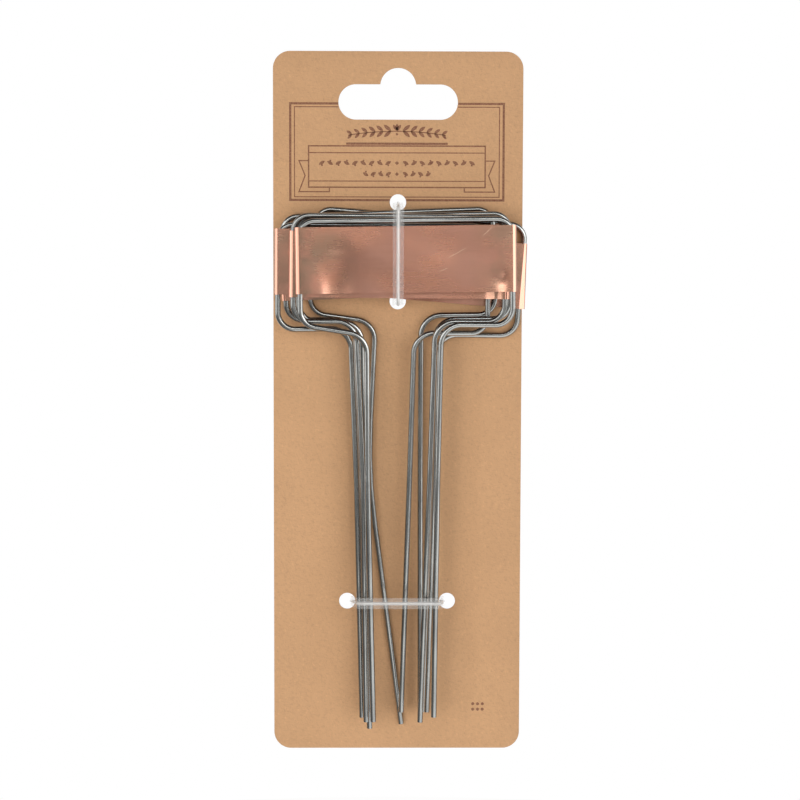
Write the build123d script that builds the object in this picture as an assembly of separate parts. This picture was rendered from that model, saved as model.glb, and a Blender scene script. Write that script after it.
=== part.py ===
"""Six bent-wire plant label stakes with copper name plates, tied as a stack to a hang card.

Millimetres. X runs to the right across the card, Z up along it, and the card's front faces -Y.
The origin is the centre of the hang slot's dome, in the plane of the card's back face.
"""
import os
from collections import namedtuple
from math import cos, radians, sin, tan

from build123d import *

# Hang card: a die-cut board with a hanging slot and two pairs of tie holes
CARD_WIDTH = 67.0
CARD_BELOW_DOME = 179.8
CARD_ABOVE_DOME = 9.2
CARD_THICKNESS = 0.5
CARD_CORNER_RADIUS = 4.6
SLOT_WIDTH = 32.0
SLOT_HEIGHT = 9.4
SLOT_RISE = 0.45
DOME_RADIUS = 4.8
TIE_HOLE_DIAMETER = 4.4
UPPER_HOLE_DEPTH = 31.0
UPPER_HOLE_SPACING = 26.5
LOWER_HOLE_DEPTH = 139.1
LOWER_HOLE_SPACING = 27.2

# Stake: one length of steel wire bent into a wide head on two legs
WIRE_DIAMETER = 1.5
ARM_SPACING = 56.0
HEAD_HEIGHT = 27.7
LEG_SPACING = 18.5
STAKE_LENGTH = 136.0
TOP_BEND_RADIUS = 4.0
SHOULDER_BEND_RADIUS = 4.6
LEG_BEND_RADIUS = 5.5
KNEE_BELOW_SHOULDER = 42.0
KNEE_RADIUS = 150.0

# Name plate: soft copper sheet, its two ends folded back round the arms
PLATE_HEIGHT = 17.5
PLATE_SHEET = 0.15
PLATE_SLIP = 0.05
FLAP_LENGTH = 5.5

# Stack: each stake lies in its own layer, the last one against the card
LAYER_GAP = 0.1
CARD_GAP = 0.1

# Twist tie: a clear ribbon with a round rib, which holds a steel core
RIBBON_WIDTH = 2.9
RIBBON_WING = 0.3
RIB_DIAMETER = 0.8
CORE_DIAMETER = 0.4
CORE_SLIP = 0.03
TIE_GAP = 0.2
TIE_BACK_GAP = 0.15
TIE_FRONT_RADIUS = 1.4
TIE_BACK_RADIUS = 1.0
UPPER_TIE_TOP_LEAN = 1.6
UPPER_TIE_BOTTOM_DROP = 0.8
LOWER_TIE_DROP = 0.1
LOWER_TIE_INSET = 0.5
LOWER_TIE_FRONT_LEFT = 10.7
LOWER_TIE_FRONT_RIGHT = 11.75
LOWER_TIE_RISE = 7.0
TWIST_LENGTH = 14.0
TWIST_WIDTH = 2.4
TWIST_THICKNESS = 1.1
TWIST_TURNS = 1.75
TIE_END_GAP = 0.6
CORE_END_GAP = 1.8

# How each stake lies in the stack, front one first. side and height place the middle of its
# top bar, tilt is anticlockwise from the front, and drop is the plate's middle below the bar.
# The wires are bent by hand, so each limb differs: aside moves its leg along the shoulder, the
# sags lower the shoulder's ends at the arm and the leg, upper and lower are the leg's lean to +X
# above and below its knee, and cut is what its leg differs from the usual length.
Limb = namedtuple("Limb", "aside arm_sag leg_sag upper lower cut")
Lie = namedtuple("Lie", "side height tilt drop left right")
LIES = [
    Lie(1.9, -36.0, 0.8, 10.4, Limb(-1.3, -0.4, 2.6, -0.4, 0.6, -2.3), Limb(-0.1, 0.3, -0.1, -2.0, -1.5, -3.3)),
    Lie(0.4, -35.0, -0.4, 12.8, Limb(-2.1, 0.4, 0.1, 3.0, 1.2, -0.6), Limb(0.4, -0.1, 0.0, -1.4, -1.7, -0.6)),
    Lie(1.2, -34.7, 1.2, 11.6, Limb(-2.3, -0.1, 0.2, 0.4, -0.2, 1.7), Limb(-1.0, 0.2, 0.0, -2.8, -3.1, -2.5)),
    Lie(-3.9, -37.3, -0.3, 9.8, Limb(0.6, 0.2, -0.2, 2.6, 1.7, -3.2), Limb(-0.8, 0.8, 0.9, -1.4, -1.6, -4.7)),
    Lie(-2.9, -33.9, 2.4, 13.6, Limb(-0.6, 0.0, 0.3, 0.2, -1.5, -1.2), Limb(-1.3, 0.6, 0.0, -2.5, -2.2, -0.3)),
    Lie(6.3, -34.9, -4.6, 13.6, Limb(-0.8, 0.4, 1.4, 1.9, 12.1, 1.9), Limb(-2.7, 1.9, 3.4, 3.7, 3.0, -1.9)),
]

# Sizes that follow from those above
WIRE_RADIUS = WIRE_DIAMETER / 2
CARD_HEIGHT = CARD_ABOVE_DOME + CARD_BELOW_DOME
FOLD_INNER = WIRE_RADIUS + PLATE_SLIP
FOLD_OUTER = FOLD_INNER + PLATE_SHEET
LAYER_PITCH = 2 * FOLD_OUTER + LAYER_GAP
LAST_LAYER = -(CARD_THICKNESS + CARD_GAP + FOLD_OUTER)
FRONT_LAYER = LAST_LAYER - LAYER_PITCH * (len(LIES) - 1)
UPPER_TIE_FRONT = FRONT_LAYER - FOLD_OUTER - TIE_GAP - RIB_DIAMETER / 2
LOWER_TIE_FRONT = FRONT_LAYER - WIRE_RADIUS - TIE_GAP - RIB_DIAMETER / 2
TIE_BACK = TIE_BACK_GAP + RIB_DIAMETER / 2
TWIST_BACK = TIE_BACK_GAP + TWIST_WIDTH / 2 + RIBBON_WING / 2
UPPER_TIE_TOP = -UPPER_HOLE_DEPTH
UPPER_TIE_BOTTOM = -UPPER_HOLE_DEPTH - UPPER_HOLE_SPACING - UPPER_TIE_BOTTOM_DROP
LOWER_TIE_HEIGHT = -LOWER_HOLE_DEPTH - LOWER_TIE_DROP
LOWER_TIE_HALF = LOWER_HOLE_SPACING / 2 - LOWER_TIE_INSET


def layer_depth(index):
    """Return the Y of a stake's own plane, counted from the front."""
    return FRONT_LAYER + LAYER_PITCH * index


def stake_place(index):
    """Return where the middle of a stake's top bar lies, turned by its tilt."""
    lie = LIES[index]
    return Pos(lie.side, layer_depth(index), lie.height) * Rot(0, -lie.tilt, 0)


def hang_card():
    """Return the board with its hanging slot and four tie holes."""
    with BuildPart() as board:
        with BuildSketch(Plane.XZ):
            with Locations((0, (CARD_ABOVE_DOME - CARD_BELOW_DOME) / 2)):
                RectangleRounded(CARD_WIDTH, CARD_HEIGHT, CARD_CORNER_RADIUS)
            with Locations((0, SLOT_RISE - SLOT_HEIGHT / 2)):
                SlotOverall(SLOT_WIDTH, SLOT_HEIGHT, mode=Mode.SUBTRACT)
            Circle(DOME_RADIUS, mode=Mode.SUBTRACT)
            upper = [(0, -UPPER_HOLE_DEPTH), (0, -UPPER_HOLE_DEPTH - UPPER_HOLE_SPACING)]
            lower = [(side * LOWER_HOLE_SPACING / 2, -LOWER_HOLE_DEPTH) for side in (-1, 1)]
            with Locations(upper + lower):
                Circle(TIE_HOLE_DIAMETER / 2, mode=Mode.SUBTRACT)
        extrude(amount=CARD_THICKNESS)
    return board.part


def limb_points(side, limb):
    """Return one limb's tip, knee, shoulder at the leg and shoulder at the arm."""
    upper, lower = tan(radians(limb.upper)), tan(radians(limb.lower))
    length = STAKE_LENGTH + limb.cut
    root = side * LEG_SPACING / 2 + limb.aside
    knee = root + KNEE_BELOW_SHOULDER * upper
    tip = knee + (length - HEAD_HEIGHT - KNEE_BELOW_SHOULDER) * lower
    return [
        (tip, -length),
        (knee, -HEAD_HEIGHT - KNEE_BELOW_SHOULDER),
        (root + limb.leg_sag * upper, -HEAD_HEIGHT - limb.leg_sag),
        (side * ARM_SPACING / 2, -HEAD_HEIGHT - limb.arm_sag),
    ]


def stake_wire(lie):
    """Return one bent wire, with the middle of its top bar at the origin."""
    arm = ARM_SPACING / 2
    left, right = limb_points(-1, lie.left), limb_points(1, lie.right)
    corners = left + [(-arm, 0), (arm, 0)] + right[::-1]
    bends = [KNEE_RADIUS, LEG_BEND_RADIUS, SHOULDER_BEND_RADIUS, TOP_BEND_RADIUS]
    with BuildLine(Plane.XZ) as line:
        FilletPolyline(*corners, radius=bends + bends[::-1])
    route = line.wire()
    section = Plane(route @ 0, z_dir=route % 0) * Circle(WIRE_RADIUS)
    return sweep(section, path=route)


def name_plate(lie):
    """Return one folded plate, with the middle of its wire's top bar at the origin."""
    arm = ARM_SPACING / 2
    flap = arm - FLAP_LENGTH
    with BuildPart() as plate:
        with BuildSketch(Plane.XY.offset(-lie.drop - PLATE_HEIGHT / 2)):
            with BuildLine():
                Line((-arm, -FOLD_OUTER), (arm, -FOLD_OUTER))
                ThreePointArc((arm, -FOLD_OUTER), (arm + FOLD_OUTER, 0), (arm, FOLD_OUTER))
                Polyline((arm, FOLD_OUTER), (flap, FOLD_OUTER), (flap, FOLD_INNER), (arm, FOLD_INNER))
                ThreePointArc((arm, FOLD_INNER), (arm + FOLD_INNER, 0), (arm, -FOLD_INNER))
                Line((arm, -FOLD_INNER), (-arm, -FOLD_INNER))
                ThreePointArc((-arm, -FOLD_INNER), (-arm - FOLD_INNER, 0), (-arm, FOLD_INNER))
                Polyline((-arm, FOLD_INNER), (-flap, FOLD_INNER), (-flap, FOLD_OUTER), (-arm, FOLD_OUTER))
                ThreePointArc((-arm, FOLD_OUTER), (-arm - FOLD_OUTER, 0), (-arm, -FOLD_OUTER))
            make_face()
        extrude(amount=PLATE_HEIGHT)
    return plate.part


def tie_route(plane, corners, back, end_gap):
    """Return a tie's path in a plane, round four corners and back to its own start."""
    middle = (corners[0][0] + corners[3][0]) / 2
    ends = [(middle - end_gap / 2, back), (middle + end_gap / 2, back)]
    radii = [TIE_BACK_RADIUS, TIE_FRONT_RADIUS, TIE_FRONT_RADIUS, TIE_BACK_RADIUS]
    with BuildLine(plane) as line:
        FilletPolyline(ends[0], *corners, ends[1], radius=radii)
    return line.wire()


def ribbon_section(route, across):
    """Return the ribbon's flat section with its rib, square to the start of a route."""
    flat = Rectangle(RIBBON_WIDTH, RIBBON_WING)
    rib = Circle(RIB_DIAMETER / 2)
    return Plane(route @ 0, x_dir=across, z_dir=route % 0) * (flat + rib)


def round_section(route, diameter):
    """Return a round section square to the start of a route."""
    return Plane(route @ 0, z_dir=route % 0) * Circle(diameter / 2)


def twisted_tail(root, along, across):
    """Return the two ribbon ends twisted together, lying on the card's back from a root."""
    start = Plane(root, x_dir=across, z_dir=along)
    blade = start * RectangleRounded(TWIST_WIDTH, TWIST_THICKNESS, TWIST_THICKNESS / 4)
    reach = start.z_dir * TWIST_LENGTH
    return Solid.extrude_linear_with_rotation(blade.face(), root, reach, 360 * TWIST_TURNS)


def twist_tie(plane, corners, across, along):
    """Return a tie's ribbon and its steel core."""
    ribbon_route = tie_route(plane, corners, TIE_BACK, TIE_END_GAP)
    core_route = tie_route(plane, corners, TIE_BACK, CORE_END_GAP)
    middle = (ribbon_route @ 0 + ribbon_route @ 1) / 2
    root = Vector(middle.X, TWIST_BACK, middle.Z) - Vector(*along) * TWIST_THICKNESS / 2
    loop = sweep(ribbon_section(ribbon_route, across), path=ribbon_route)
    tail = twisted_tail(root, along, (0, 1, 0))
    channel = sweep(round_section(core_route, CORE_DIAMETER + 2 * CORE_SLIP), path=core_route)
    core = sweep(round_section(core_route, CORE_DIAMETER), path=core_route)
    return loop + tail - channel, core


def upper_tie():
    """Return the tie over the heads: up the card's back, forward, down over the plates."""
    side_view = Plane((0, 0, 0), x_dir=(0, 0, 1), z_dir=(-1, 0, 0))
    corners = [
        (UPPER_TIE_BOTTOM, TIE_BACK),
        (UPPER_TIE_BOTTOM, UPPER_TIE_FRONT),
        (UPPER_TIE_TOP - UPPER_TIE_TOP_LEAN, UPPER_TIE_FRONT),
        (UPPER_TIE_TOP, TIE_BACK),
    ]
    return twist_tie(side_view, corners, (1, 0, 0), (1, 0, 0))


def lower_tie():
    """Return the tie round the legs: along the card's back, forward and up, across the legs."""
    rise = radians(LOWER_TIE_RISE)
    level = Plane((0, 0, LOWER_TIE_HEIGHT), x_dir=(1, 0, 0), z_dir=(0, sin(rise), cos(rise)))
    front = LOWER_TIE_FRONT / cos(rise)
    corners = [
        (-LOWER_TIE_HALF, TIE_BACK),
        (-LOWER_TIE_FRONT_LEFT, front),
        (LOWER_TIE_FRONT_RIGHT, front),
        (LOWER_TIE_HALF, TIE_BACK),
    ]
    return twist_tie(level, corners, level.z_dir, (0, 0, -1))


def all_pieces():
    """Return every piece of the tied set by its node name."""
    pieces = {"hang_card": hang_card()}
    for index, lie in enumerate(LIES):
        place = stake_place(index)
        pieces[f"stake_wire_{index + 1}"] = place * stake_wire(lie)
        pieces[f"name_plate_{index + 1}"] = place * name_plate(lie)
    pieces["upper_tie_ribbon"], pieces["upper_tie_core"] = upper_tie()
    pieces["lower_tie_ribbon"], pieces["lower_tie_core"] = lower_tie()
    return pieces


PIECES = all_pieces()
os.makedirs("parts", exist_ok=True)
for name, piece in PIECES.items():
    export_step(piece, f"parts/{name}.step")
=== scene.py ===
"""Six bent-wire plant label stakes with copper name plates, tied as a stack to a kraft hang card.

Metres. X runs to the right across the card, Z up along it, and the card's front faces -Y.
"""
import random
from collections import namedtuple
from math import asin, copysign, cos, exp, pi, radians, sin, tan

import bmesh
import bpy
from mathutils import Matrix, Vector


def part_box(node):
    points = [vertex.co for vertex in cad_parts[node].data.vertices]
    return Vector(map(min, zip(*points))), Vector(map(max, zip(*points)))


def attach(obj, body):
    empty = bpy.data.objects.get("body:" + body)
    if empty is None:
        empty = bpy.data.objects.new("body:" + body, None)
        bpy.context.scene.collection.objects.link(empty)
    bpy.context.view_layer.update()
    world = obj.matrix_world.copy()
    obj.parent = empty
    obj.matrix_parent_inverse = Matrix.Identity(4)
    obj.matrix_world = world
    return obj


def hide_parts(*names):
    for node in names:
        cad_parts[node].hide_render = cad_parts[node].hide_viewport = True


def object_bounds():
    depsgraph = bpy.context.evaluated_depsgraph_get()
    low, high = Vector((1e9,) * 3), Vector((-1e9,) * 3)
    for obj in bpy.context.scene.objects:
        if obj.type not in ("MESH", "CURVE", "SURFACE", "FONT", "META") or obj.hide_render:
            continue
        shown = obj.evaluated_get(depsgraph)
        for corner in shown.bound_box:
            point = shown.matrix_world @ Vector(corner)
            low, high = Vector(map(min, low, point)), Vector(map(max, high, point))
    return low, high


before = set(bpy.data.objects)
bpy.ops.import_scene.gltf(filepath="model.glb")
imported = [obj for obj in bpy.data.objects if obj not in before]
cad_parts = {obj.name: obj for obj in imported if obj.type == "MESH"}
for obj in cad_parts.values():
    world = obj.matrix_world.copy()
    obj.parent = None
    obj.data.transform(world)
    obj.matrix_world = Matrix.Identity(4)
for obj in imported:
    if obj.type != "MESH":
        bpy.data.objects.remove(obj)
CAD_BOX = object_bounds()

bl_info = {
    "name": "Plant Label Stake Set",
    "version": (1, 0, 0),
    "blender": (4, 5, 0),
    "location": "View3D > Sidebar > Stake Set",
    "description": "Models wire plant label stakes with copper name plates, tied to a kraft hang card",
    "category": "Object",
}

MM = 0.001
WELD_DISTANCE = 0.0005 * MM
ARC_STEP = radians(5)
BEND_STEP = 1.6 * ARC_STEP
SHARP_ANGLE = radians(35)

# How each stake lies in the stack, front one first, in millimetres and degrees. side and height
# place the middle of its top bar, tilt is anticlockwise from the front, and drop is the plate's
# middle below the bar. The wires are bent by hand, so each limb differs: aside moves its leg along
# the shoulder, the sags lower the shoulder's ends at the arm and the leg, upper and lower are the
# leg's lean to +X above and below its knee, and cut is what its leg differs from the usual length.
Limb = namedtuple("Limb", "aside arm_sag leg_sag upper lower cut")
Lie = namedtuple("Lie", "side height tilt drop left right")
LIES = [
    Lie(1.9, -36.0, 0.8, 10.4,
        Limb(-1.3, -0.4, 2.6, -0.4, 0.6, -2.3), Limb(-0.1, 0.3, -0.1, -2.0, -1.5, -3.3)),
    Lie(0.4, -35.0, -0.4, 12.8,
        Limb(-2.1, 0.4, 0.1, 3.0, 1.2, -0.6), Limb(0.4, -0.1, 0.0, -1.4, -1.7, -0.6)),
    Lie(1.2, -34.7, 1.2, 11.6,
        Limb(-2.3, -0.1, 0.2, 0.4, -0.2, 1.7), Limb(-1.0, 0.2, 0.0, -2.8, -3.1, -2.5)),
    Lie(-3.9, -37.3, -0.3, 9.8,
        Limb(0.6, 0.2, -0.2, 2.6, 1.7, -3.2), Limb(-0.8, 0.8, 0.9, -1.4, -1.6, -4.7)),
    Lie(-2.9, -33.9, 2.4, 13.6,
        Limb(-0.6, 0.0, 0.3, 0.2, -1.5, -1.2), Limb(-1.3, 0.6, 0.0, -2.5, -2.2, -0.3)),
    Lie(6.3, -34.9, -4.6, 13.6,
        Limb(-0.8, 0.4, 1.4, 1.9, 12.1, 1.9), Limb(-2.7, 1.9, 3.4, 3.7, 3.0, -1.9)),
]

# A dent in a name plate, in millimetres: where its deepest point lies from the plate's middle and
# above the lower edge, how far it spreads to the left, to the right and upwards, and its depth.
Dent = namedtuple("Dent", "across up left right rise depth")
DENTS = {
    0: [Dent(-18.5, 0.0, 2.7, 3.3, 6.5, 1.3), Dent(25.8, 2.9, 1.7, 1.5, 1.5, 0.5)],
    1: [Dent(26.5, 0.0, 1.9, 1.0, 5.0, 1.4)],
}

# A scratch on the front name plate, in millimetres: its middle on the card, its slope and its length.
Scratch = namedtuple("Scratch", "x z slope length")
SCRATCHES = [
    Scratch(15.5, -44.6, 29, 7.6),
    Scratch(23.4, -39.0, 43, 4.4),
    Scratch(12.0, -49.0, 22, 3.2),
]

# A panel on the screen: the turn of its middle from straight in front and half its width, in degrees,
# its lower and upper edges in metres, and the brightness that it adds, where 1 is white. A dark card
# takes brightness away.
ScreenPanel = namedtuple("ScreenPanel", "turn half low high brightness")
SCREEN_PANELS = [
    ScreenPanel(-80, 20, -0.21, 0.60, 1.5),
    ScreenPanel(-44, 15, -0.10, 0.10, 1.1),
    ScreenPanel(60, 32, -0.14, 0.60, 1.8),
    ScreenPanel(58, 26, -0.38, -0.20, 1.3),
    ScreenPanel(-85, 40, -0.40, -0.21, -0.13),
    ScreenPanel(35, 50, -0.40, -0.38, 0.95),
    ScreenPanel(0, 60, 0.14, 0.42, 2.7),
    ScreenPanel(0, 30, -0.14, 0.04, 0.07),
]


def colour(code):
    """Turn an sRGB hex value into linear red, green and blue."""
    channels = [int(code[place:place + 2], 16) / 255 for place in (1, 3, 5)]
    return [c / 12.92 if c <= 0.04045 else ((c + 0.055) / 1.055) ** 2.4 for c in channels]


def opaque(rgb):
    """Give a linear colour the alpha that a node socket wants."""
    return (*rgb, 1.0)


def per_metre(size_mm):
    """Return how often a pattern of this size in millimetres repeats in a metre."""
    return 1000 / size_mm


def sizes(*lengths_mm):
    """Return lengths given in millimetres as metres."""
    return [length_mm * MM for length_mm in lengths_mm]


def clamp(value):
    """Keep a share between none and all."""
    return max(0.0, min(1.0, value))


def of_kind(geometry, kind):
    """Return the elements of one kind among what a mesh operator gives back."""
    return [item for item in geometry if isinstance(item, kind)]


# Nodes and materials

# Sockets of the Mix node when it mixes colours: the share, the two colours and the result
SHARE, FIRST, SECOND, BLENDED = 0, 6, 7, 2


def add(tree, kind, inputs=None, output=0, **settings):
    """Add a shader node with its settings and return an output; an input given as a socket is linked."""
    node = tree.nodes.new(f"ShaderNode{kind}")
    for name, value in settings.items():
        setattr(node, name, value)
    for name, value in (inputs or {}).items():
        if isinstance(value, bpy.types.NodeSocket):
            tree.links.new(value, node.inputs[name])
        else:
            node.inputs[name].default_value = value
    return node.outputs[output] if node.outputs else None


def new_material(name):
    """Return an empty node material and its tree."""
    material = bpy.data.materials.new(name)
    material.use_nodes = True
    material.node_tree.nodes.clear()
    return material, material.node_tree


def kraft_board(rgb):
    """Uncoated kraft board, calendered on rollers: a warm matt brown, cloudy over a few centimetres,
    with a close felt of fibres and scattered dark and pale specks."""
    material, tree = new_material("kraft_board_calendered")
    place = add(tree, "TexCoord", output="Object")
    cloud = add(tree, "TexNoise", {"Vector": place, "Scale": per_metre(18), "Detail": 1.0})
    speck = add(tree, "TexNoise", {"Vector": place, "Scale": per_metre(0.7), "Detail": 1.0})
    # Real fibres are about 0.03 mm wide; they are drawn 0.2 mm wide so that they show
    lying = add(tree, "Mapping", {
        "Vector": place, "Rotation": (0, radians(12), 0), "Scale": sizes(1.4, 0.4, 0.22)},
        vector_type="TEXTURE")
    lying = add(tree, "TexNoise", {"Vector": lying, "Scale": 1.0})
    rising = add(tree, "Mapping", {
        "Vector": place, "Rotation": (0, radians(-20), 0), "Scale": sizes(0.22, 0.4, 1.2)},
        vector_type="TEXTURE")
    rising = add(tree, "TexNoise", {"Vector": rising, "Scale": 1.0})
    felt = add(tree, "Math", {0: lying, 1: rising}, operation="ADD")
    dark = opaque([c * 0.72 for c in rgb])
    pale = opaque([min(1.0, c * 1.22) for c in rgb])
    clouds = add(tree, "MapRange", {"Value": cloud, "From Min": 0.3, "From Max": 0.7})
    dim = opaque([c * 0.94 for c in rgb])
    base = add(tree, "Mix", {SHARE: clouds, FIRST: dim, SECOND: opaque(rgb)},
               output=BLENDED, data_type="RGBA")
    fibre = add(tree, "MapRange", {
        "Value": felt, "From Min": 0.72, "From Max": 1.05, "To Min": 0.42, "To Max": 0.0})
    fibred = add(tree, "Mix", {SHARE: fibre, FIRST: base, SECOND: dark},
                 output=BLENDED, data_type="RGBA")
    fleck = add(tree, "MapRange", {
        "Value": speck, "From Min": 0.64, "From Max": 0.72, "To Max": 0.28})
    flecked = add(tree, "Mix", {SHARE: fleck, FIRST: fibred, SECOND: pale},
                  output=BLENDED, data_type="RGBA")
    spot = add(tree, "MapRange", {
        "Value": speck, "From Min": 0.34, "From Max": 0.26, "To Max": 0.4})
    spotted = add(tree, "Mix", {SHARE: spot, FIRST: flecked, SECOND: dark},
                  output=BLENDED, data_type="RGBA")
    bump = add(tree, "Bump", {"Height": felt, "Strength": 0.15, "Distance": 0.04 * MM})
    shader = add(tree, "BsdfPrincipled", {
        "Base Color": spotted, "Roughness": 0.88, "Specular IOR Level": 0.25, "Normal": bump})
    add(tree, "OutputMaterial", {"Surface": shader})
    return material


def printing_ink(rgb, board_rgb):
    """Brown ink pressed on bare board: flat and matt, thin where the board's fibres stand up."""
    material, tree = new_material("brown_ink_printed")
    place = add(tree, "TexCoord", output="Object")
    grain = add(tree, "TexNoise", {"Vector": place, "Scale": per_metre(0.45)})
    bare = add(tree, "MapRange", {
        "Value": grain, "From Min": 0.3, "From Max": 0.7, "To Min": 0.3, "To Max": 0.0})
    cover = add(tree, "Mix", {SHARE: bare, FIRST: opaque(rgb), SECOND: opaque(board_rgb)},
                output=BLENDED, data_type="RGBA")
    shader = add(tree, "BsdfPrincipled", {
        "Base Color": cover, "Roughness": 0.8, "Specular IOR Level": 0.25})
    add(tree, "OutputMaterial", {"Surface": shader})
    return material


def drawn_steel(rgb, dull_rgb):
    """Plain steel wire, drawn through a die: bright grey with fine lines along it and dull patches."""
    material, tree = new_material("steel_wire_drawn")
    # wire_run holds the cosine and sine round the wire and the metres along it
    run = add(tree, "Attribute", output="Vector", attribute_name="wire_run")
    lines = add(tree, "Mapping", {"Vector": run, "Scale": (5.0, 5.0, per_metre(25))})
    lines = add(tree, "TexNoise", {"Vector": lines, "Scale": 1.0, "Detail": 3.0})
    patch = add(tree, "Mapping", {"Vector": run, "Scale": (0.8, 0.8, per_metre(9))})
    patch = add(tree, "TexNoise", {"Vector": patch, "Scale": 1.0, "Detail": 4.0})
    dull = add(tree, "MapRange", {"Value": patch, "From Min": 0.40, "From Max": 0.66})
    tint = add(tree, "Mix", {SHARE: dull, FIRST: opaque(rgb), SECOND: opaque(dull_rgb)},
               output=BLENDED, data_type="RGBA")
    rough = add(tree, "MapRange", {
        "Value": patch, "From Min": 0.3, "From Max": 0.7, "To Min": 0.14, "To Max": 0.24})
    bump = add(tree, "Bump", {"Height": lines, "Strength": 0.08, "Distance": 0.02 * MM})
    shader = add(tree, "BsdfPrincipled", {
        "Base Color": tint, "Metallic": 1.0, "Roughness": rough, "Normal": bump})
    add(tree, "OutputMaterial", {"Surface": shader})
    return material


def rolled_copper(rgb, tarnish_rgb, film_rgb):
    """Soft copper sheet, rolled and handled: pink metal with a brown bloom and fine roll lines across
    it, a thin grey film near its ends, folds kept bare and lighter as a painted highlight, and a few
    thin bright scratches."""
    material, tree = new_material("copper_sheet_rolled")
    place = add(tree, "TexCoord", output="Object")
    bloom = add(tree, "TexNoise", {"Vector": place, "Scale": per_metre(12), "Detail": 4.0})
    # Real roll lines are about 0.05 mm apart; they are drawn 0.35 mm wide so that they show
    lines = add(tree, "Mapping", {"Vector": place, "Scale": sizes(9, 1.0, 0.35)},
                vector_type="TEXTURE")
    lines = add(tree, "TexNoise", {"Vector": lines, "Scale": 1.0, "Detail": 3.0})
    clouded = add(tree, "MapRange", {
        "Value": bloom, "From Min": 0.38, "From Max": 0.66, "To Max": 0.75})
    streaked = add(tree, "MapRange", {
        "Value": lines, "From Min": 0.3, "From Max": 0.7, "To Max": 0.32})
    tarnish = add(tree, "Math", {0: clouded, 1: streaked}, operation="ADD")
    # fold_share is 1 on a plate's folds, which are kept bare of bloom and film as a painted highlight
    fold = add(tree, "Attribute", output="Fac", attribute_name="fold_share")
    flat = add(tree, "Math", {0: 1.0, 1: fold}, operation="SUBTRACT")
    tarnish = add(tree, "Math", {0: tarnish, 1: flat}, operation="MULTIPLY")
    tint = add(tree, "Mix", {SHARE: tarnish, FIRST: opaque(rgb), SECOND: opaque(tarnish_rgb)},
               output=BLENDED, data_type="RGBA")
    across = add(tree, "SeparateXYZ", {0: place}, output="X")
    left = add(tree, "MapRange", {
        "Value": across, "From Min": -10 * MM, "From Max": -22 * MM, "To Max": 0.85})
    right = add(tree, "MapRange", {
        "Value": across, "From Min": 18 * MM, "From Max": 27 * MM, "To Max": 0.7})
    handled = add(tree, "Math", {0: left, 1: right}, operation="MAXIMUM")
    patch = add(tree, "TexNoise", {"Vector": place, "Scale": per_metre(7), "Detail": 3.0})
    patchy = add(tree, "MapRange", {"Value": patch, "From Min": 0.35, "From Max": 0.6})
    film = add(tree, "Math", {0: handled, 1: patchy}, operation="MULTIPLY")
    film = add(tree, "Math", {0: film, 1: flat}, operation="MULTIPLY")
    tint = add(tree, "Mix", {SHARE: film, FIRST: tint, SECOND: opaque(film_rgb)},
               output=BLENDED, data_type="RGBA")
    marked = 0.0
    for scratch in SCRATCHES:
        along = add(tree, "Mapping", {
            "Vector": place, "Location": sizes(scratch.x, 0, scratch.z),
            "Rotation": (0, radians(-scratch.slope), 0), "Scale": sizes(scratch.length, 1000, 0.22)},
            vector_type="TEXTURE")
        reach = add(tree, "VectorMath", {0: along}, output="Value", operation="LENGTH")
        line = add(tree, "MapRange", {
            "Value": reach, "From Min": 0.5, "From Max": 0.3, "To Max": 0.75})
        marked = add(tree, "Math", {0: line, 1: marked}, operation="MAXIMUM")
    bright = add(tree, "Mix", {SHARE: marked, FIRST: tint, SECOND: opaque(colour("#ffdcc0"))},
                 output=BLENDED, data_type="RGBA")
    rough = add(tree, "MapRange", {"Value": tarnish, "To Min": 0.13, "To Max": 0.33})
    bump = add(tree, "Bump", {"Height": lines, "Strength": 0.035, "Distance": 0.02 * MM})
    shader = add(tree, "BsdfPrincipled", {
        "Base Color": bright, "Metallic": 1.0, "Roughness": rough, "Normal": bump})
    add(tree, "OutputMaterial", {"Surface": shader})
    return material


def clear_pvc(rgb):
    """Clear soft PVC, extruded: all but see-through, with a glossy skin. Its thick rib is milkier, partly
    from its thicker plastic and partly as a painted highlight along it.
    """
    material, tree = new_material("clear_pvc_extruded")
    # The rib's share: 1 on the ribbon's rib and 0 on its thin wings. Its milkiness is partly a painted
    # highlight along the rib
    rib = add(tree, "Attribute", output="Fac", attribute_name="rib_milk_and_highlight")
    # The rib's milkiness, partly its thicker plastic and partly a painted highlight along it
    cloud = add(tree, "MapRange", {"Value": rib, "To Min": 0.11, "To Max": 0.40})
    place = add(tree, "TexCoord", output="Object")
    wave = add(tree, "TexNoise", {"Vector": place, "Scale": per_metre(1.5)})
    bump = add(tree, "Bump", {"Height": wave, "Strength": 0.1, "Distance": 0.05 * MM})
    shader = add(tree, "BsdfPrincipled", {
        "Base Color": opaque(rgb), "Roughness": 0.10, "IOR": 1.53, "Alpha": cloud,
        "Specular IOR Level": 1.0, "Normal": bump})
    add(tree, "OutputMaterial", {"Surface": shader})
    return material


def core_steel(rgb):
    """Thin galvanised wire: pale grey and softly shining, a little streaked."""
    material, tree = new_material("tie_core_steel_galvanised")
    place = add(tree, "TexCoord", output="Object")
    streak = add(tree, "TexNoise", {"Vector": place, "Scale": per_metre(0.8)})
    share = add(tree, "MapRange", {"Value": streak, "From Min": 0.3, "From Max": 0.7})
    dim = opaque([c * 0.8 for c in rgb])
    tint = add(tree, "Mix", {SHARE: share, FIRST: opaque(rgb), SECOND: dim},
               output=BLENDED, data_type="RGBA")
    shader = add(tree, "BsdfPrincipled", {"Base Color": tint, "Metallic": 1.0, "Roughness": 0.5})
    add(tree, "OutputMaterial", {"Surface": shader})
    return material


# Mesh work

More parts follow.
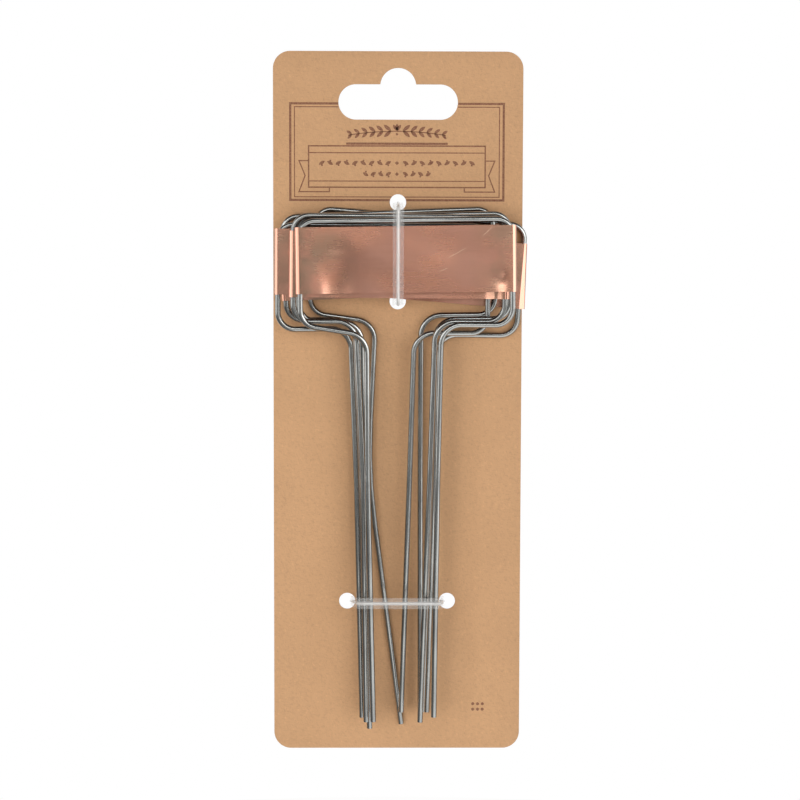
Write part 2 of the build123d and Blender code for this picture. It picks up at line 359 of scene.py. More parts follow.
def trace(bm, start, moves):
    """Draw a chain of edges in the card's plane and return them.

    A move of one point runs straight to it; a move of a centre and an angle turns about it.
    """
    before = set(bm.edges)
    tip = bm.verts.new((start[0], 0, start[1]))
    for move in moves:
        if len(move) == 1:
            (end,) = move
            tip = bmesh.ops.extrude_vert_indiv(bm, verts=[tip])["verts"][0]
            tip.co = (end[0], 0, end[1])
        else:
            centre, angle = move
            steps = max(2, round(abs(angle) / ARC_STEP))
            turned = bmesh.ops.spin(
                bm, geom=[tip], cent=(centre[0], 0, centre[1]), axis=(0, -1, 0), angle=angle, steps=steps)
            tip = of_kind(turned["geom_last"], bmesh.types.BMVert)[0]
    return [edge for edge in bm.edges if edge not in before]


def merge_doubles(bm):
    """Join points that lie on each other."""
    bmesh.ops.remove_doubles(bm, verts=bm.verts[:], dist=WELD_DISTANCE)


def draw_out(bm, edges, points, bends, layer=None):
    """Draw an edge ring out along points, straight runs joined by round bends; return its last ring."""
    legs = [end - start for start, end in zip(points, points[1:])]
    turns = [first.angle(second) for first, second in zip(legs, legs[1:])]
    trims = [bend * tan(turn / 2) for bend, turn in zip(bends, turns)]
    for index, leg in enumerate(legs):
        heading = leg.normalized()
        before = trims[index - 1] if index else 0.0
        after = trims[index] if index < len(trims) else 0.0
        run = leg.length - before - after
        edges, verts = extrude_ring(bm, edges, layer, run)
        bmesh.ops.translate(bm, verts=verts, vec=heading * run)
        if index == len(turns):
            break
        axis = leg.cross(legs[index + 1]).normalized()
        bend, turn = bends[index], turns[index]
        centre = points[index + 1] - heading * after + axis.cross(heading) * bend
        steps = max(3, round(turn / BEND_STEP))
        for _ in range(steps):
            edges, verts = extrude_ring(bm, edges, layer, bend * turn / steps)
            bmesh.ops.rotate(bm, verts=verts, cent=centre, matrix=Matrix.Rotation(turn / steps, 3, axis))
    return edges


def extrude_ring(bm, edges, layer, advance):
    """Copy an edge ring onwards and join the two with faces; return the new edges and points."""
    grown = bmesh.ops.extrude_edge_only(bm, edges=edges)["geom"]
    verts = of_kind(grown, bmesh.types.BMVert)
    if layer:
        for vert in verts:
            vert[layer] += Vector((0, 0, advance))
    return of_kind(grown, bmesh.types.BMEdge), verts


def finish_piece(bm, name, material, body, stands_for=None):
    """Make a mesh a named piece that wears a material, rides a body and may stand for a node."""
    merge_doubles(bm)
    bmesh.ops.recalc_face_normals(bm, faces=bm.faces[:])
    for face in bm.faces:
        face.smooth = True
    mesh = bpy.data.meshes.new(name)
    bm.to_mesh(mesh)
    bm.free()
    mesh.set_sharp_from_angle(angle=SHARP_ANGLE)
    mesh.materials.append(material)
    piece = bpy.data.objects.new(name, mesh)
    bpy.context.scene.collection.objects.link(piece)
    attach(piece, body)
    if stands_for:
        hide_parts(stands_for)
    return piece


# Settings

def length(name, default_mm, text):
    """Return a length setting whose default is in millimetres."""
    return bpy.props.FloatProperty(
        name=name, description=text, default=default_mm * MM, min=0.0, precision=5, unit="LENGTH")


def shade(name, code, text):
    """Return a colour setting whose default is an sRGB hex value."""
    return bpy.props.FloatVectorProperty(
        name=name, description=text, default=colour(code), size=3, min=0.0, max=1.0, subtype="COLOR")


def degrees(name, default, text):
    """Return an angle setting whose default is in degrees."""
    return bpy.props.FloatProperty(
        name=name, description=text, default=radians(default), subtype="ANGLE")


def light_level(name, default, text):
    """Return a brightness setting, where 1 is white."""
    return bpy.props.FloatProperty(name=name, description=f"{text}, where 1 is white", default=default)


class HangCardSettings(bpy.types.PropertyGroup):
    """Sizes and colours of the hang card and its printing"""

    corner_radius: length("Corner radius", 4.6, "Radius of the card's four corners")
    edge_roll: length("Edge roll", 0.09, "Radius that the die leaves along every cut edge")
    slot_width: length("Slot width", 32.0, "Width of the hanging slot")
    slot_height: length("Slot height", 9.4, "Height of the hanging slot without its dome")
    slot_rise: length("Slot rise", 0.45, "How far the slot's top lies above the dome's centre")
    dome_radius: length("Dome radius", 4.8, "Radius of the dome over the slot")
    hole_diameter: length("Tie hole", 4.4, "Diameter of the four tie holes")
    upper_hole_depth: length("Upper hole depth", 31.0, "First upper tie hole below the dome's centre")
    upper_hole_spacing: length("Upper hole spacing", 26.5, "Distance between the upper tie holes")
    lower_hole_depth: length("Lower hole depth", 139.1, "Lower tie holes below the dome's centre")
    lower_hole_spacing: length("Lower hole spacing", 27.2, "Distance between the lower tie holes")
    ink_thickness: length("Ink thickness", 0.02, "How far the ink stands off the board")
    heavy_rule: length("Heavy rule", 0.6, "Width of the printed frame's outer line")
    fine_rule: length("Fine rule", 0.27, "Width of the thin printed lines")
    board_colour: shade("Board", "#d3a57a", "Colour of the bare kraft board")
    ink_colour: shade("Ink", "#7d5140", "Colour of the printing")


class StakeSettings(bpy.types.PropertyGroup):
    """Sizes and colours of the stake wires and their name plates"""

    wire_diameter: length("Wire diameter", 1.5, "Diameter of the steel wire")
    arm_spacing: length("Arm spacing", 56.0, "Distance between the middles of a head's two arms")
    head_height: length("Head height", 27.7, "Height from the shoulders to the top bar")
    leg_spacing: length("Leg spacing", 18.5, "Distance between the legs at the shoulders")
    stake_length: length("Stake length", 136.0, "Length from the top bar to the tips")
    top_bend: length("Top bend", 4.0, "Radius of the bends beside the top bar")
    shoulder_bend: length("Shoulder bend", 4.6, "Radius of the bends between arm and shoulder")
    leg_bend: length("Leg bend", 5.5, "Radius of the bends between shoulder and leg")
    knee_depth: length("Knee depth", 42.0, "Where a leg bends slightly, below its shoulder")
    knee_bend: length("Knee bend", 150.0, "Radius of that slight bend")
    tip_chamfer: length("Tip chamfer", 0.14, "Bevel round the cut tips")
    plate_height: length("Plate height", 17.5, "Height of a name plate")
    plate_sheet: length("Plate sheet", 0.15, "Thickness of the copper sheet")
    plate_slip: length("Plate slip", 0.05, "Gap between a plate's fold and the wire")
    flap_length: length("Flap length", 5.5, "How far a plate's folded ends reach behind it")
    fold_slack: length("Fold slack", 0.25, "How far a plate's folds may stand off their arms")
    fold_spread: length("Fold spread", 6.0, "How far a fold's unevenness spreads into the sheet")
    sheet_wave: length("Sheet wave", 0.16, "How far the sheet strays from flat")
    steel_colour: shade("Steel", "#a8a9a6", "Colour of the bright wire")
    dull_colour: shade("Dull steel", "#8c8d8b", "Colour of the wire's dull patches")
    copper_colour: shade("Copper", "#eeb199", "Colour of the clean copper")
    tarnish_colour: shade("Tarnish", "#c98e74", "Colour of the copper's brown bloom")
    film_colour: shade("Film", "#b6967e", "Colour of the grey film near a plate's ends")


class TieSettings(bpy.types.PropertyGroup):
    """Sizes and colours of the twist ties"""

    ribbon_width: length("Ribbon width", 2.9, "Width of the flat ribbon")
    ribbon_wing: length("Ribbon thickness", 0.3, "Thickness of the ribbon beside its rib")
    rib_diameter: length("Rib diameter", 0.8, "Diameter of the round rib along the ribbon's middle")
    core_diameter: length("Core diameter", 0.4, "Diameter of the steel core in the rib")
    front_bend: length("Front bend", 1.4, "Radius of the ribbon's bends in front of the stack")
    back_bend: length("Back bend", 1.0, "Radius of the ribbon's bends behind the card")
    top_lean: length("Top lean", 1.6, "How far the upper tie's top run drops towards the front")
    bottom_drop: length("Bottom drop", 0.8, "Drop of the upper tie's lower run below its hole's middle")
    lower_drop: length("Lower drop", 0.1, "How far the lower tie lies below its holes' middles")
    lower_inset: length("Lower inset", 0.9, "How far the lower tie passes inside its holes' middles")
    front_left: length("Front left", 10.7, "How far the lower tie's front run reaches to the left")
    front_right: length("Front right", 11.75, "How far the lower tie's front run reaches to the right")
    front_rise: degrees("Front rise", 7, "Slope of the lower tie up to its front run")
    ribbon_gap: length("Ribbon gap", 0.6, "Gap between the ribbon's ends behind the card")
    core_gap: length("Core gap", 1.8, "Gap between the core's ends behind the card")
    tail_length: length("Tail length", 14.0, "Length of the twisted tails")
    tail_depth: length("Tail depth", 1.5, "How far the twisted tails lie behind the card")
    strand_diameter: length("Strand diameter", 1.05, "Diameter of each twisted strand")
    tail_turns: bpy.props.FloatProperty(
        name="Tail turns", description="How often the tails are twisted round each other", default=1.75)
    pvc_colour: shade("Ribbon", "#f6f6f4", "Tint of the clear ribbon")
    core_colour: shade("Core", "#f2f2f0", "Colour of the steel core")


class StageSettings(bpy.types.PropertyGroup):
    """Floor, light and camera"""

    floor_drop: length("Floor drop", 230.0, "How far the floor lies below the card")
    floor_size: length("Floor size", 1500.0, "Width of the floor")
    floor_colour: shade("Floor", "#f4f4f4", "Colour of the floor")
    box_width: length("Softbox width", 500.0, "Width of each softbox")
    box_height: length("Softbox height", 500.0, "Height of each softbox")
    box_distance: length("Softbox distance", 770.0, "How far each softbox stands off")
    box_turn: degrees("Softbox turn", 27, "How far to the side each softbox stands")
    key_brightness: light_level("Key brightness", 2.7, "Brightness of the left softbox")
    key_rise: length("Key rise", 10.0, "How far the left softbox's middle lies above the card's")
    fill_brightness: light_level("Fill brightness", 1.85, "Brightness of the right softbox")
    fill_rise: length("Fill rise", -20.0, "How far the right softbox's middle lies above the card's")
    room_light: light_level("Room light", 0.25, "Light from all round")
    screen_radius: length("Screen radius", 950.0, "Radius of the grey screen that the metal mirrors")
    screen_left: light_level("Screen left", 0.31, "Brightness of the screen's left part")
    screen_right: light_level("Screen right", 0.42, "Brightness of the screen's right part")
    screen_top: bpy.props.FloatProperty(
        name="Screen top", description="Share of its brightness that the screen keeps overhead",
        default=0.25)
    lens: bpy.props.FloatProperty(
        name="Lens", description="Focal length of the camera", default=83.06, unit="CAMERA")


# Pieces

class STAKESET_OT_hang_card(bpy.types.Operator):
    """Cut the kraft hang card with its hanging slot and four tie holes"""

    bl_idname = "stake_set.hang_card"
    bl_label = "Hang card"

    HOLE_SIDES = 48
    RIM_ANGLE = radians(60)

    def execute(self, context):
        """Model the card in place of its node."""
        card = context.scene.hang_card
        low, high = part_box("hang_card")
        bm = bmesh.new()
        self.outline(bm, low, high, card.corner_radius)
        self.slot(bm, card)
        for x, z in tie_holes(card):
            level = Matrix.Translation((x, 0, z)) @ Matrix.Rotation(radians(90), 4, "X")
            bmesh.ops.create_circle(
                bm, cap_ends=False, radius=card.hole_diameter / 2, segments=self.HOLE_SIDES,
                matrix=level)
        merge_doubles(bm)
        bmesh.ops.triangle_fill(bm, use_beauty=True, edges=bm.edges[:], normal=(0, -1, 0))
        front = bmesh.ops.extrude_face_region(bm, geom=bm.faces[:])["geom"]
        bmesh.ops.translate(bm, verts=of_kind(front, bmesh.types.BMVert), vec=(0, low.y - high.y, 0))
        bmesh.ops.recalc_face_normals(bm, faces=bm.faces[:])
        rims = [edge for edge in bm.edges if edge.calc_face_angle(0) > self.RIM_ANGLE]
        bmesh.ops.bevel(
            bm, geom=rims, offset=card.edge_roll, segments=2, profile=0.5, affect="EDGES", material=-1)
        bmesh.ops.translate(bm, verts=bm.verts[:], vec=(0, high.y, 0))
        board = kraft_board(card.board_colour)
        finish_piece(bm, "kraft_hang_card", board, "card", "hang_card")
        return {"FINISHED"}

    def outline(self, bm, low, high, radius):
        """Draw the card's edge with its round corners."""
        left, right, bottom, top = low.x + radius, high.x - radius, low.z + radius, high.z - radius
        quarter = radians(-90)
        trace(bm, (left, high.z), [
            ((right, high.z),), ((right, top), quarter),
            ((high.x, bottom),), ((right, bottom), quarter),
            ((left, low.z),), ((left, bottom), quarter),
            ((low.x, top),), ((left, top), quarter)])

    def slot(self, bm, card):
        """Draw the hanging slot with its round ends and its dome."""
        end = card.slot_height / 2
        side = card.slot_width / 2 - end
        top = card.slot_rise
        rise = asin(top / card.dome_radius)
        foot = card.dome_radius * cos(rise)
        half = radians(-180)
        trace(bm, (-side, top), [
            ((-foot, top),), ((0, 0), half + 2 * rise),
            ((side, top),), ((side, top - end), half),
            ((-side, top - card.slot_height),), ((-side, top - end), half)])


def tie_holes(card):
    """Return the middles of the four tie holes."""
    lower = card.lower_hole_spacing / 2
    upper_end = card.upper_hole_depth + card.upper_hole_spacing
    return [(0, -card.upper_hole_depth), (0, -upper_end),
            (-lower, -card.lower_hole_depth), (lower, -card.lower_hole_depth)]


# The printed design, in millimetres from the dome's centre. The print lies a little left of the die.
PRINT_ASIDE = -0.3
FRAME_HALF, FRAME_TOP, FRAME_BOTTOM = 28.9, -4.4, -30.7
INNER_HALF, INNER_TOP, INNER_BOTTOM = 27.6, -5.45, -29.7
SLOT_EDGE, INNER_SLOT_EDGE = 16.05, 16.0
HOLE_EDGE, INNER_HOLE_EDGE = 2.2, 1.75
ARCH_RADIUS, ARCH_CROWN, ARCH_HALF, ARCH_STEPS = 81.0, -11.9, 13.2, 12
UNDERLINE_HALF, UNDERLINE_HEIGHT = 13.6, -15.05
BANNER_HALF, BANNER_TOP, BANNER_BOTTOM = 23.5, -16.15, -26.8
BANNER_LINES = (-17.65, -25.2)
BANNER_WEIGHT, TAIL_WEIGHT, TAIL_GAP = 1.4, 1.2, 0.3
TAIL_TOP, TAIL_END, TAIL_NOTCH, TAIL_MIDDLE = -19.75, 26.5, 24.8, -23.9
TAIL_BOTTOM, TAIL_INNER = -28.35, 17.95
# The garland: its pairs of leaves on each side, where the first and the last stand in pitches, how far
# the leaves spread, the inmost pair's length and width, what each further pair loses, and the seedling
GARLAND_PAIRS, PAIR_START, PAIR_END = 6, 0.75, 0.25
LEAF_SPREAD, LEAF_LENGTH, LEAF_WIDTH = radians(40), 2.5, 0.95
LENGTH_LOSS, WIDTH_LOSS = 0.16, 0.04
SEEDLING_TURNS, SEEDLING_LENGTH, SEEDLING_WIDTH = (58, 90, 122), 1.9, 0.8
SEED_DROP, SEED_SIZE = 0.9, 0.8
# The rows of leaves: height, half width and leaves on each side, then the parts that repeat in a row
LEAF_ROWS = ((-20.5, 21.2, 9), (-23.45, 9.3, 4))
ROW_DIAMOND, ROW_START, ROW_END = 1.1, 1.6, 1.2
ROW_SLANT, ROW_LEAF_DROP, ROW_LEAF_SHARE, ROW_LEAF_WIDTH = radians(32), 0.5, 0.82, 0.85
BUD_SHARE, BUD_RISE, BUD_SIZE = 0.32, 0.62, 0.5
# The count dots: where their middle lies, their pitch across and up, and their size
COUNT_PLACE, COUNT_PITCH, COUNT_DOT = (22.4, -168.3), (1.3, 1.5), 0.85


class STAKESET_OT_card_print(bpy.types.Operator):
    """Print the card's double frame, ribbon banner and leaf ornaments"""

    bl_idname = "stake_set.card_print"
    bl_label = "Card print"

    def execute(self, context):
        """Lay the ink on the card's front."""
        card = context.scene.hang_card
        self.ink = card.ink_thickness
        self.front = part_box("hang_card")[0].y
        material = printing_ink(card.ink_colour, card.board_colour)
        designs = {
            "printed_frame": self.frame_rules,
            "printed_banner": self.banner,
            "printed_leaf_arch": self.leaf_arch,
            "printed_leaf_rows": self.leaf_rows,
            "printed_count_dots": self.count_dots,
        }
        for name, draw in designs.items():
            bm = bmesh.new()
            draw(bm, card)
            bmesh.ops.translate(bm, verts=bm.verts[:], vec=(PRINT_ASIDE * MM, self.front, 0))
            finish_piece(bm, name, material, "card")
        return {"FINISHED"}

    def rule(self, bm, points, width):
        """Print a line through points in millimetres, widened to the right of its way."""
        start, *rest = [(x * MM, z * MM) for x, z in points]
        edges = trace(bm, start, [(point,) for point in rest])
        if points[0] == points[-1]:
            merge_doubles(bm)
            edges = [edge for edge in bm.edges if edge.is_wire]
        raised = bmesh.ops.extrude_edge_only(bm, edges=edges)["geom"]
        bmesh.ops.translate(bm, verts=of_kind(raised, bmesh.types.BMVert), vec=(0, -self.ink, 0))
        bmesh.ops.solidify(bm, geom=of_kind(raised, bmesh.types.BMFace), thickness=width)

    def shape(self, bm, edges, place):
        """Print a filled outline, moved to its place."""
        verts = list({vert for edge in edges for vert in edge.verts})
        bmesh.ops.remove_doubles(bm, verts=verts, dist=WELD_DISTANCE)
        edges = [edge for edge in bm.edges if edge.is_wire]
        face = bmesh.ops.contextual_create(bm, geom=edges)["faces"]
        raised = bmesh.ops.extrude_face_region(bm, geom=face)["geom"]
        tops = of_kind(raised, bmesh.types.BMVert)
        bmesh.ops.translate(bm, verts=tops, vec=(0, -self.ink, 0))
        whole = list({vert for top in tops for edge in top.link_edges for vert in edge.verts})
        bmesh.ops.transform(bm, matrix=place, verts=whole)

    def leaf(self, bm, x, z, turn, size, width):
        """Print one leaf of two arcs from its stem end, its tip turned anticlockwise from +X."""
        half, sag = size * MM / 2, width * MM / 2
        radius = (half ** 2 + sag ** 2) / (2 * sag)
        sweep = -2 * asin(half / radius)
        rise = radius - sag
        edges = trace(bm, (0, 0), [((half, -rise), sweep), ((half, rise), sweep)])
        place = Matrix.Translation((x * MM, 0, z * MM)) @ Matrix.Rotation(-turn, 4, "Y")
        self.shape(bm, edges, place)

    def dot(self, bm, x, z, diameter, sides=14):
        """Print one dot, or with four sides a diamond."""
        level = Matrix.Rotation(radians(90), 4, "X")
        ring = bmesh.ops.create_circle(
            bm, cap_ends=False, radius=diameter * MM / 2, segments=sides, matrix=level)["verts"]
        edges = list({edge for vert in ring for edge in vert.link_edges})
        self.shape(bm, edges, Matrix.Translation((x * MM, 0, z * MM)))

    def frame_rules(self, bm, card):
        """Print the double frame, cut through by the slot and by the first tie hole."""
        lines = [
            (FRAME_HALF, FRAME_TOP, FRAME_BOTTOM, SLOT_EDGE, HOLE_EDGE, card.heavy_rule),
            (INNER_HALF, INNER_TOP, INNER_BOTTOM, INNER_SLOT_EDGE, INNER_HOLE_EDGE, card.fine_rule),
        ]
        for half, top, bottom, slot, hole, width in lines:
            for side in (-1, 1):
                points = [(side * slot - PRINT_ASIDE, top), (side * half, top),
                          (side * half, bottom), (side * hole - PRINT_ASIDE, bottom)]
                self.rule(bm, points[::side], width)

    def banner(self, bm, card):
        """Print the banner with its two folded tails, and the line above it."""
        fine = card.fine_rule
        corners = [(-BANNER_HALF, BANNER_TOP), (-BANNER_HALF, BANNER_BOTTOM),
                   (BANNER_HALF, BANNER_BOTTOM), (BANNER_HALF, BANNER_TOP)]
        self.rule(bm, corners + corners[:1], fine * BANNER_WEIGHT)
        for height in BANNER_LINES:
            self.rule(bm, [(-BANNER_HALF, height), (BANNER_HALF, height)], fine)
        underline = [(-UNDERLINE_HALF, UNDERLINE_HEIGHT), (UNDERLINE_HALF, UNDERLINE_HEIGHT)]
        self.rule(bm, underline, card.heavy_rule)
        for side in (-1, 1):
            tail = [(side * (BANNER_HALF + TAIL_GAP), TAIL_TOP), (side * TAIL_END, TAIL_TOP),
                    (side * TAIL_NOTCH, TAIL_MIDDLE), (side * TAIL_END, TAIL_BOTTOM),
                    (side * TAIL_INNER, TAIL_BOTTOM), (side * TAIL_INNER, BANNER_BOTTOM - TAIL_GAP)]
            self.rule(bm, tail[::side], fine * TAIL_WEIGHT)

    def leaf_arch(self, bm, card):
        """Print a garland: an arched stem with leaves in pairs, and a seedling at its crown."""
        centre = ARCH_CROWN - ARCH_RADIUS
        reach = ARCH_HALF / ARCH_RADIUS
        ends = [(sin(reach * share) * ARCH_RADIUS, centre + cos(reach * share) * ARCH_RADIUS)
                for share in [step / ARCH_STEPS for step in range(-ARCH_STEPS, ARCH_STEPS + 1)]]
        self.rule(bm, ends, card.fine_rule)
        for side in (-1, 1):
            for pair in range(GARLAND_PAIRS):
                bend = reach * (pair + PAIR_START) / (GARLAND_PAIRS + PAIR_END)
                x = side * sin(bend) * ARCH_RADIUS
                z = centre + cos(bend) * ARCH_RADIUS
                for spread in (-1, 1):
                    away = LEAF_SPREAD * spread * side - bend * side
                    turn = away if side > 0 else pi + away
                    size, width = LEAF_LENGTH - LENGTH_LOSS * pair, LEAF_WIDTH - WIDTH_LOSS * pair
                    self.leaf(bm, x, z, turn, size, width)
        for turn in SEEDLING_TURNS:
            self.leaf(bm, 0, ARCH_CROWN, radians(turn), SEEDLING_LENGTH, SEEDLING_WIDTH)
        self.dot(bm, 0, ARCH_CROWN - SEED_DROP, SEED_SIZE, sides=4)

    def leaf_rows(self, bm, card):
        """Print two rows of slanted leaves and dots between the banner's lines."""
        for height, half, count in LEAF_ROWS:
            self.dot(bm, 0, height, ROW_DIAMOND, sides=4)
            pitch = (half - ROW_END) / count
            for side in (-1, 1):
                for index in range(count):
                    x = side * (ROW_START + pitch * index)
                    lift = 1 if index % 2 else -1
                    slant = ROW_SLANT * lift * side
                    turn = slant if side > 0 else pi + slant
                    foot = height - ROW_LEAF_DROP * lift
                    self.leaf(bm, x, foot, turn, pitch * ROW_LEAF_SHARE, ROW_LEAF_WIDTH)
                    self.dot(bm, x + side * pitch * BUD_SHARE, height + BUD_RISE * lift, BUD_SIZE)

    def count_dots(self, bm, card):
        """Print six dots, one for each stake, near the card's lower corner."""
        for column in (-1, 0, 1):
            for row in (-0.5, 0.5):
                x = COUNT_PLACE[0] + column * COUNT_PITCH[0]
                z = COUNT_PLACE[1] + row * COUNT_PITCH[1]
                self.dot(bm, x, z, COUNT_DOT)


def stake_place(index):
    """Return where the middle of a stake's top bar lies, turned by its tilt."""
    low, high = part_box(f"stake_wire_{index + 1}")
    lie = LIES[index]
    middle = Matrix.Translation((lie.side * MM, (low.y + high.y) / 2, lie.height * MM))
    return middle @ Matrix.Rotation(radians(-lie.tilt), 4, "Y")


class STAKESET_OT_stake_wires(bpy.types.Operator):
    """Bend the six stakes from round wire, with chamfered tips"""

    bl_idname = "stake_set.stake_wires"
    bl_label = "Stake wires"

    WIRE_SIDES = 28

    def execute(self, context):
        """Model each wire in place of its node."""
        stake = context.scene.stake
        material = drawn_steel(stake.steel_colour, stake.dull_colour)
        bends = [stake.knee_bend, stake.leg_bend, stake.shoulder_bend, stake.top_bend]
        for index, lie in enumerate(LIES):
            bm = bmesh.new()
            corners = self.corners(stake, lie)
            self.wire(bm, corners, bends + bends[::-1], stake)
            bm.transform(stake_place(index))
            number = index + 1
            finish_piece(bm, f"bent_stake_wire_{number}", material, f"stake_{number}",
                         f"stake_wire_{number}")
        return {"FINISHED"}

    def limb(self, stake, side, limb):
        """Return one limb's tip, knee, shoulder at the leg and shoulder at the arm."""
        upper, lower = tan(radians(limb.upper)), tan(radians(limb.lower))
        head, depth = stake.head_height, stake.knee_depth
        reach = stake.stake_length + limb.cut * MM
        root = side * stake.leg_spacing / 2 + limb.aside * MM
        knee = root + depth * upper
        tip = knee + (reach - head - depth) * lower
        sag = limb.leg_sag * MM
        points = [(tip, -reach), (knee, -head - depth), (root + sag * upper, -head - sag),
                  (side * stake.arm_spacing / 2, -head - limb.arm_sag * MM)]
        return [Vector((x, 0, z)) for x, z in points]

    def corners(self, stake, lie):
        """Return the wire's corners from its left tip to its right one."""
        arm = stake.arm_spacing / 2
        left, right = self.limb(stake, -1, lie.left), self.limb(stake, 1, lie.right)
        return left + [Vector((-arm, 0, 0)), Vector((arm, 0, 0))] + right[::-1]

    def wire(self, bm, corners, bends, stake):
        """Draw the wire out along its corners, then close and chamfer its tips."""
        layer = bm.verts.layers.float_vector.new("wire_run")
        facing = (corners[1] - corners[0]).to_track_quat("Z", "Y").to_matrix().to_4x4()
        ring = bmesh.ops.create_circle(
            bm, cap_ends=False, radius=stake.wire_diameter / 2, segments=self.WIRE_SIDES,
            matrix=Matrix.Translation(corners[0]) @ facing)["verts"]
        for step, vert in enumerate(ring):
            angle = 2 * pi * step / len(ring)
            vert[layer] = (cos(angle), sin(angle), 0)
        first = bm.edges[:]
        last = draw_out(bm, first, corners, bends, layer)
        for rim in (first, last):
            bmesh.ops.contextual_create(bm, geom=rim)
        bmesh.ops.bevel(
            bm, geom=first + last, offset=stake.tip_chamfer, segments=2, profile=0.5, affect="EDGES",
            material=-1)


class STAKESET_OT_name_plates(bpy.types.Operator):
    """Fold the six copper name plates round the arms of their wires"""

    bl_idname = "stake_set.name_plates"
    bl_label = "Name plates"

    CHANCE_SEED = 6
    # Rows of faces up a sheet, and cuts across its front
    ROWS = 22
    FRONT_CUTS = 111
    # Each fold's slack, as the least and the most share of the usual one
    SLACK_SHARES = (0.6, 1)
    # Waves in a sheet: how many, the least and most half waves across and up it, and the shares of the
    # usual push that the sheet has all over and that each wave adds
    WAVES = 5
    WAVES_ACROSS, WAVES_UP = (0.5, 2.2), (0.3, 1.1)
    MEAN_PUSH, WAVE_PUSH = 0.5, 0.2
    # Where the sheet starts to give, beside an arm in wire diameters and below the top in fold spreads
    ARM_REST, TOP_REST = 0.5, 0.2
    # The power that turns a round fold, at 1, towards a wedge, at 2, its growth for each millimetre of
    # slack and its limit
    WEDGE = 1.1
    WEDGE_GROWTH = 0.4
    WEDGE_LIMIT = 1.35
    # Slack at the top and the bottom of the two outermost folds, by plate and side, in millimetres
    OUTER_FOLDS = {(3, -1): (0.0, 0.0), (5, 1): (0.0, 0.8)}

    def execute(self, context):
        """Model each plate in place of its node."""
        stake = context.scene.stake
        material = rolled_copper(stake.copper_colour, stake.tarnish_colour, stake.film_colour)
        chance = random.Random(self.CHANCE_SEED)
        for index, lie in enumerate(LIES):
            bm = bmesh.new()
            self.sheet(bm, stake)
            self.loosen(bm, stake, chance, index)
            self.press(bm, stake, DENTS.get(index, ()), chance)
            bmesh.ops.recalc_face_normals(bm, faces=bm.faces[:])
            bmesh.ops.solidify(bm, geom=bm.faces[:], thickness=stake.plate_sheet)
            bm.transform(stake_place(index) @ Matrix.Translation((0, 0, -lie.drop * MM)))
            number = index + 1
            finish_piece(bm, f"folded_name_plate_{number}", material, f"plate_{number}",
                         f"name_plate_{number}")
        return {"FINISHED"}

    def fold_radius(self, stake):
        """Return the radius of a round fold's outer face."""
        return stake.wire_diameter / 2 + stake.plate_slip + stake.plate_sheet

    def sheet(self, bm, stake):
        """Draw the plate's outer face folded as seen from above, and raise it to its height."""
        arm = stake.arm_spacing / 2
        fold = self.fold_radius(stake)
        flap = arm - stake.flap_length
        half = radians(180)
        trace(bm, (-flap, fold), [
            ((-arm, fold),), ((-arm, 0), half), ((arm, -fold),), ((arm, 0), half), ((flap, fold),)])
        long_run = max(bm.edges, key=lambda edge: edge.calc_length())
        bmesh.ops.subdivide_edges(bm, edges=[long_run], cuts=self.FRONT_CUTS)
        level = Matrix.Rotation(radians(-90), 3, "X")
        bmesh.ops.rotate(bm, verts=bm.verts[:], cent=(0, 0, 0), matrix=level)
        bmesh.ops.translate(bm, verts=bm.verts[:], vec=(0, 0, -stake.plate_height / 2))
        edges = bm.edges[:]
        for _ in range(self.ROWS):
            edges, verts = extrude_ring(bm, edges, None, 0)
            bmesh.ops.translate(bm, verts=verts, vec=(0, 0, stake.plate_height / self.ROWS))

    def loosen(self, bm, stake, chance, index):
        """Flatten the folds into uneven wedges, as bent by hand."""
        arm = stake.arm_spacing / 2
        fold = self.fold_radius(stake)
        fold_highlight_mark = bm.verts.layers.float.new("fold_share")
        for side in (-1, 1):
            usual = [chance.uniform(*self.SLACK_SHARES) * stake.fold_slack / MM for _ in range(2)]
            top, bottom = self.OUTER_FOLDS.get((index, side), usual)
            for vert in bm.verts:
                past = side * vert.co.x - arm
                if past <= 0:
                    continue
                share = vert.co.z / stake.plate_height + 0.5
                slack = bottom + (top - bottom) * share
                reach = fold + slack * MM
                wedge = min(self.WEDGE + self.WEDGE_GROWTH * slack, self.WEDGE_LIMIT)
                vert.co.x = side * (arm + reach * (past / fold) ** wedge)
                vert.co.y = copysign(fold * (abs(vert.co.y) / fold) ** wedge, vert.co.y)
                # Marks the folds, which the copper keeps bare and lighter as a painted highlight
                vert[fold_highlight_mark] = 1.0

    def press(self, bm, stake, dents, chance):
        """Press soft waves and dents back into the sheet's front, fading out towards its folds."""
        arm = stake.arm_spacing / 2
        waves = [(chance.uniform(*self.WAVES_ACROSS), chance.uniform(*self.WAVES_UP),
                  chance.uniform(0, 2 * pi)) for _ in range(self.WAVES)]
        for vert in bm.verts:
            x, y, z = vert.co
            if y > 0 or abs(x) >= arm:
                continue
            hold = clamp((arm - abs(x)) / stake.fold_spread)
            free = clamp((arm - abs(x)) / stake.wire_diameter - self.ARM_REST)
            across, up = x / arm, z / stake.plate_height * 2
            wave = sum(sin(pi * (wide * across + high * up) + phase) for wide, high, phase in waves)
            push = stake.sheet_wave * (self.MEAN_PUSH + self.WAVE_PUSH * wave) * hold
            # The top stays flat, clear of the top bar that it can slide up to
            flat = clamp((stake.plate_height / 2 - z) / stake.fold_spread - self.TOP_REST)
            for dent in dents:
                aside = x / MM - dent.across
                spread = aside / (dent.left if aside < 0 else dent.right)
                above = ((z + stake.plate_height / 2) / MM - dent.up) / dent.rise
                push += dent.depth * MM * exp(-(spread ** 2 + above ** 2) / 2) * free
            vert.co.y += max(0.0, push) * flat


